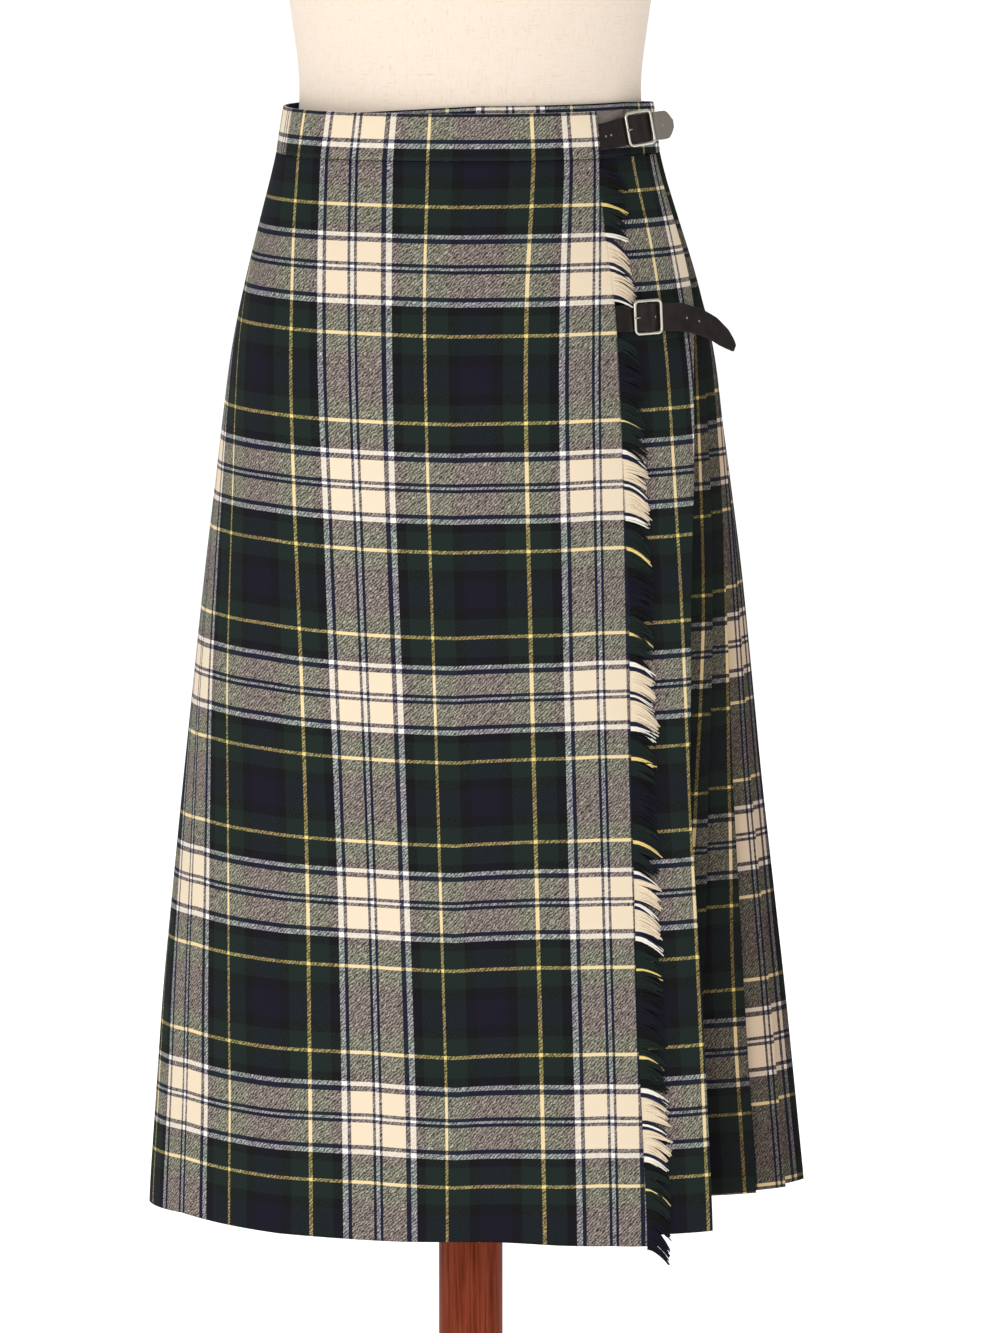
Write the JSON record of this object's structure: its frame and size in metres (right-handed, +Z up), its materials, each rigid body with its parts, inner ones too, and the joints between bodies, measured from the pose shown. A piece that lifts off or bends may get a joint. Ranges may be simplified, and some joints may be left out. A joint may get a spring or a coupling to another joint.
{
  "type": "kilt skirt on dress form",
  "caption": "Wrap-over tartan kilt skirt with a pleated back, fringed free edge and leather straps with buckles, on a limbless dress form on a round wooden stand.",
  "frame": {"origin": "middle of the underside of the round base, under the pole's axis", "axes": "+Z up along the pole, -Y out of the skirt's front, +X towards the fringed edge and its buckles"},
  "size_m": [0.4591, 0.4, 1.5343],
  "materials": {
    "tartan_wool": "twill, matt",
    "fringe_yarn": "drawn wool yarn, matt",
    "bridle_leather": "dark brown, half matt",
    "brushed_nickel": "brushed",
    "speckled_linen": "cream linen with darker slubs",
    "stained_wood": "reddish brown, satin"
  },
  "bodies": {
    "root": {"outer_apron": "tartan_wool", "apron_fringe": "fringe_yarn", "under_apron": "tartan_wool", "back_panel_right": "tartan_wool", "back_panel_left": "tartan_wool", "waistband": "tartan_wool", "waist_strap": "bridle_leather", "waist_buckle": "brushed_nickel", "waist_prong": "brushed_nickel", "waist_tab": "bridle_leather", "hip_strap": "bridle_leather", "hip_buckle": "brushed_nickel", "hip_prong": "brushed_nickel", "hip_tab": "bridle_leather", "dress_form": "speckled_linen", "neck_cap": "stained_wood", "stand_pole": "stained_wood", "stand_collar": "stained_wood", "stand_base": "stained_wood"}
  },
  "joints": []
}
